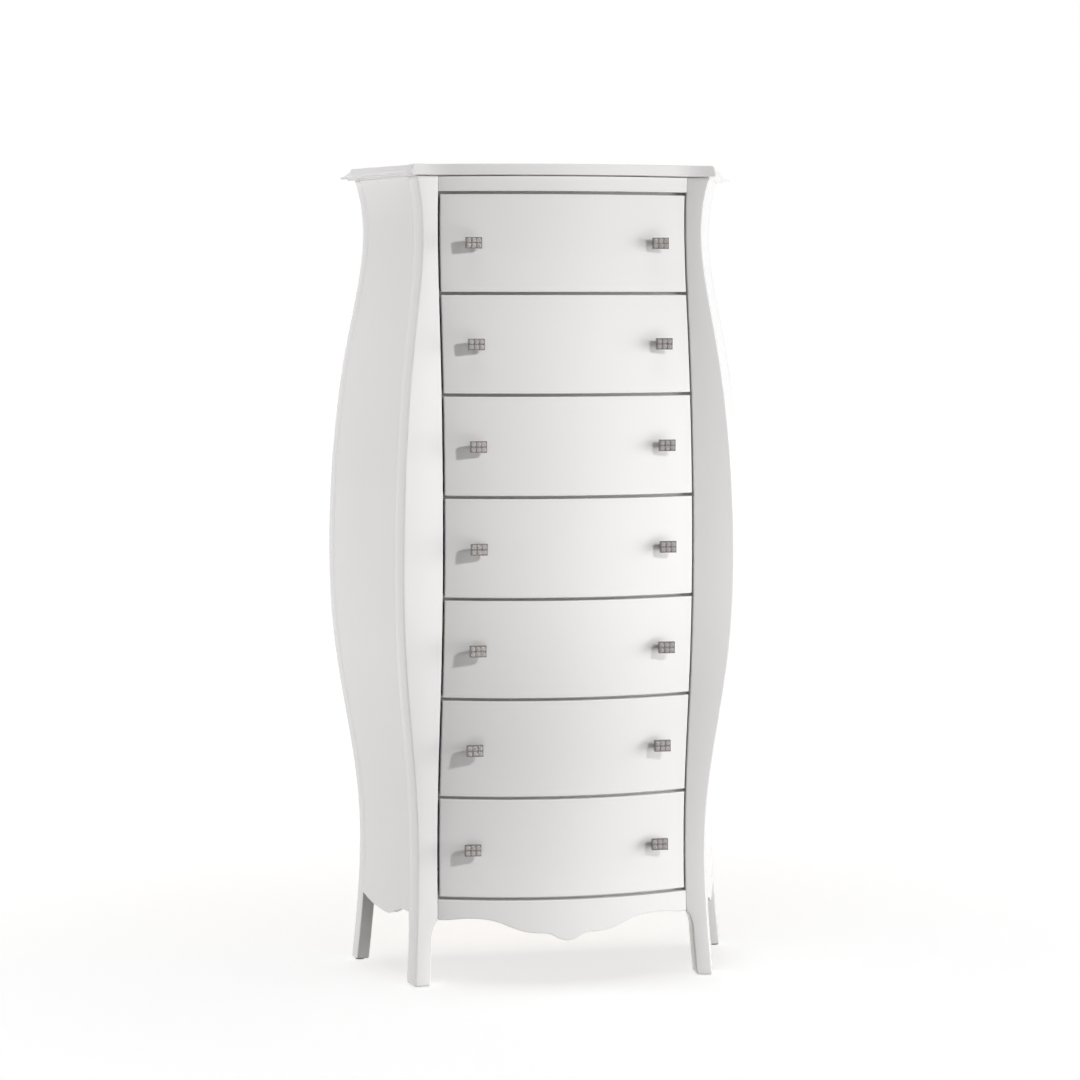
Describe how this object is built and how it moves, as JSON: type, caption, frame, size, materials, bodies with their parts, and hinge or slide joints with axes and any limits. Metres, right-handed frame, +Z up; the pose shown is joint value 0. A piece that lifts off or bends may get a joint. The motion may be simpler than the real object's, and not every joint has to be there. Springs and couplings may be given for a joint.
{
  "type": "chest of drawers",
  "caption": "Tall narrow chest of drawers with S-curved sides and bowed front; each drawer slides out on wooden runners by two crystal knobs.",
  "frame": {"origin": "on the floor, under the middle of the chest's box", "axes": "+X across the chest, to the right of someone who faces its front; -Y out of the front, the way the drawers open; +Z up"},
  "size_m": [0.7544, 0.341, 1.4],
  "materials": {
    "lacquer": "white high-gloss lacquer",
    "inner_wood": "bare waxed poplar",
    "chrome": "polished",
    "crystal": "cut and polished",
    "screw_steel": "zinc plated",
    "glide": "nylon"
  },
  "bodies": {
    "carcass": {"front_left_post": "lacquer", "left_side_panel": "lacquer", "rear_left_post": "lacquer", "front_right_post": "lacquer", "right_side_panel": "lacquer", "rear_right_post": "lacquer", "front_frieze": "lacquer", "front_apron": "lacquer", "base_board": "inner_wood", "back_panel": "inner_wood", "drawer_dividers": "lacquer", "rear_frame": "inner_wood", "drawer_runners": "inner_wood", "corner_blocks": "inner_wood", "top_screws": "screw_steel", "top_board": "lacquer", "floor_glides": "glide"},
    "drawer_1": {"drawer_1_front": "lacquer", "drawer_1_knobs": "chrome", "drawer_1_crystals": "crystal", "drawer_1_sides": "inner_wood", "drawer_1_bottom": "inner_wood", "drawer_1_back": "inner_wood"},
    "drawer_2": {"drawer_2_front": "lacquer", "drawer_2_knobs": "chrome", "drawer_2_crystals": "crystal", "drawer_2_sides": "inner_wood", "drawer_2_bottom": "inner_wood", "drawer_2_back": "inner_wood"},
    "drawer_3": {"drawer_3_front": "lacquer", "drawer_3_knobs": "chrome", "drawer_3_crystals": "crystal", "drawer_3_sides": "inner_wood", "drawer_3_bottom": "inner_wood", "drawer_3_back": "inner_wood"},
    "drawer_4": {"drawer_4_front": "lacquer", "drawer_4_knobs": "chrome", "drawer_4_crystals": "crystal", "drawer_4_sides": "inner_wood", "drawer_4_bottom": "inner_wood", "drawer_4_back": "inner_wood"},
    "drawer_5": {"drawer_5_front": "lacquer", "drawer_5_knobs": "chrome", "drawer_5_crystals": "crystal", "drawer_5_sides": "inner_wood", "drawer_5_bottom": "inner_wood", "drawer_5_back": "inner_wood"},
    "drawer_6": {"drawer_6_front": "lacquer", "drawer_6_knobs": "chrome", "drawer_6_crystals": "crystal", "drawer_6_sides": "inner_wood", "drawer_6_bottom": "inner_wood", "drawer_6_back": "inner_wood"},
    "drawer_7": {"drawer_7_front": "lacquer", "drawer_7_knobs": "chrome", "drawer_7_crystals": "crystal", "drawer_7_sides": "inner_wood", "drawer_7_bottom": "inner_wood", "drawer_7_back": "inner_wood"}
  },
  "joints": [
    {"name": "drawer_1_slide", "type": "slide", "parent": "carcass", "child": "drawer_1", "axis": [0, -1, 0], "range_m": [0, 0.14]},
    {"name": "drawer_2_slide", "type": "slide", "parent": "carcass", "child": "drawer_2", "axis": [0, -1, 0], "range_m": [0, 0.16]},
    {"name": "drawer_3_slide", "type": "slide", "parent": "carcass", "child": "drawer_3", "axis": [0, -1, 0], "range_m": [0, 0.17]},
    {"name": "drawer_4_slide", "type": "slide", "parent": "carcass", "child": "drawer_4", "axis": [0, -1, 0], "range_m": [0, 0.175]},
    {"name": "drawer_5_slide", "type": "slide", "parent": "carcass", "child": "drawer_5", "axis": [0, -1, 0], "range_m": [0, 0.17]},
    {"name": "drawer_6_slide", "type": "slide", "parent": "carcass", "child": "drawer_6", "axis": [0, -1, 0], "range_m": [0, 0.155]},
    {"name": "drawer_7_slide", "type": "slide", "parent": "carcass", "child": "drawer_7", "axis": [0, -1, 0], "range_m": [0, 0.13]}
  ]
}
